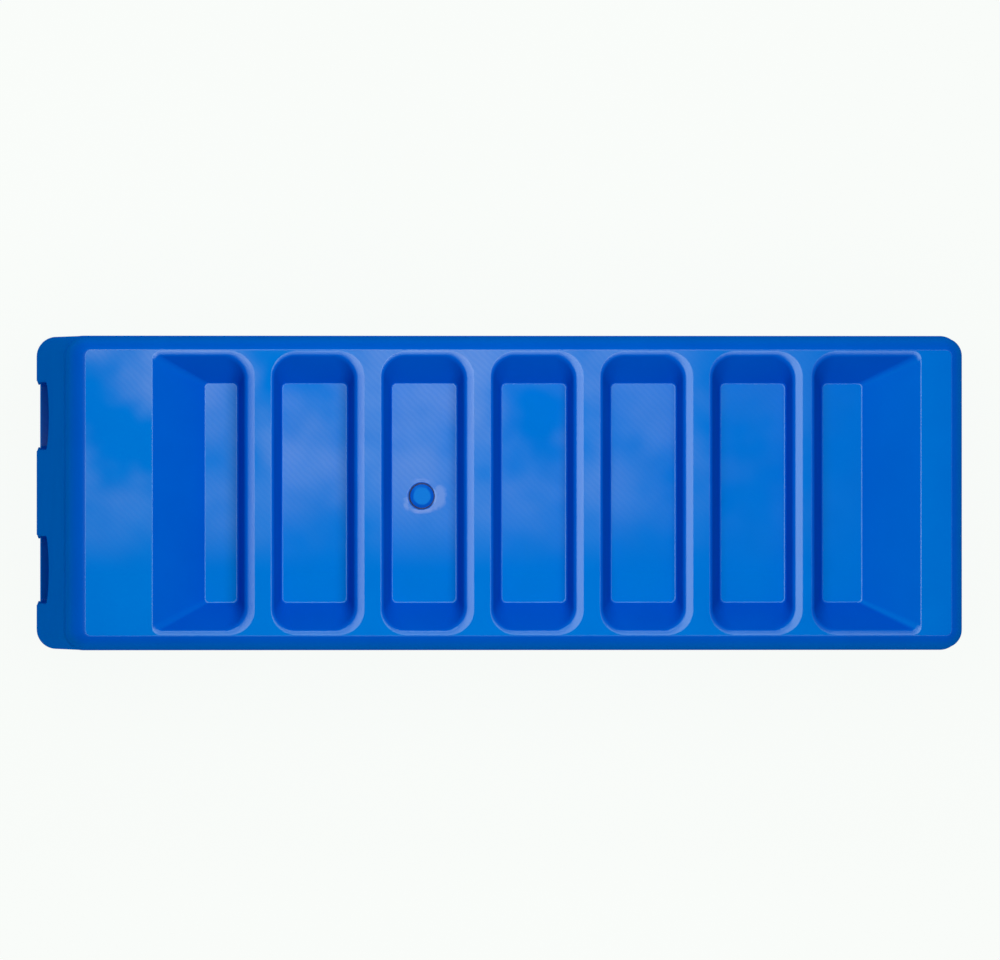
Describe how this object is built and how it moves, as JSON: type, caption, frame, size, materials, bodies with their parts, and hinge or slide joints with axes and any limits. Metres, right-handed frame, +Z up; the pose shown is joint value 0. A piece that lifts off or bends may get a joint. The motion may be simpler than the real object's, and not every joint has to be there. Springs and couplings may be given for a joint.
{
  "type": "water filled barrier",
  "caption": "Hollow moulded plastic road barrier block with stiffening recesses along its top, interlocking ends, fork channels and screw plugs for filling and draining.",
  "frame": {"origin": "centre of the footprint on the ground, lugs included", "axes": "+Z up; +X along the barrier, from the end with the sockets to the end with the lugs; the drain is on the -Y side"},
  "size_m": [1.461, 0.5, 0.48],
  "materials": {
    "tank_polyethylene": "rotationally moulded polyethylene, satin with a faint grain",
    "plug_polyethylene": "injection moulded polyethylene, satin",
    "drain_plug_polypropylene": "injection moulded polypropylene, satin",
    "bush_nylon": "moulded nylon",
    "seal_rubber": "moulded nitrile rubber"
  },
  "bodies": {
    "tank": {"barrier_shell": "tank_polyethylene", "filler_bush": "bush_nylon", "drain_bush": "bush_nylon"},
    "filler_washer": {"filler_seal": "seal_rubber"},
    "filler_screw": {"filler_plug": "plug_polyethylene"},
    "drain_washer": {"drain_seal": "seal_rubber"},
    "drain_screw": {"drain_plug": "drain_plug_polypropylene"}
  },
  "joints": [
    {"name": "filler_rise", "type": "slide", "parent": "tank", "child": "filler_washer", "axis": [0, 0, 1], "range_m": [0, 0.018]},
    {"name": "filler_turn", "type": "hinge", "parent": "filler_washer", "child": "filler_screw", "pos_m": [-0.1579, -0.005, 0.432], "axis": [0, 0, 1], "range_deg": [0, 1620]},
    {"name": "drain_rise", "type": "slide", "parent": "tank", "child": "drain_washer", "axis": [0, -1, 0], "range_m": [0, 0.022]},
    {"name": "drain_turn", "type": "hinge", "parent": "drain_washer", "child": "drain_screw", "pos_m": [0.5475, -0.22, 0.062], "axis": [0, -1, 0], "range_deg": [0, 1584]}
  ],
  "couplings": [
    {"joint": "filler_rise", "follows": "filler_turn", "m_per_rad": 0.00063662},
    {"joint": "drain_rise", "follows": "drain_turn", "m_per_rad": 0.00079577}
  ]
}
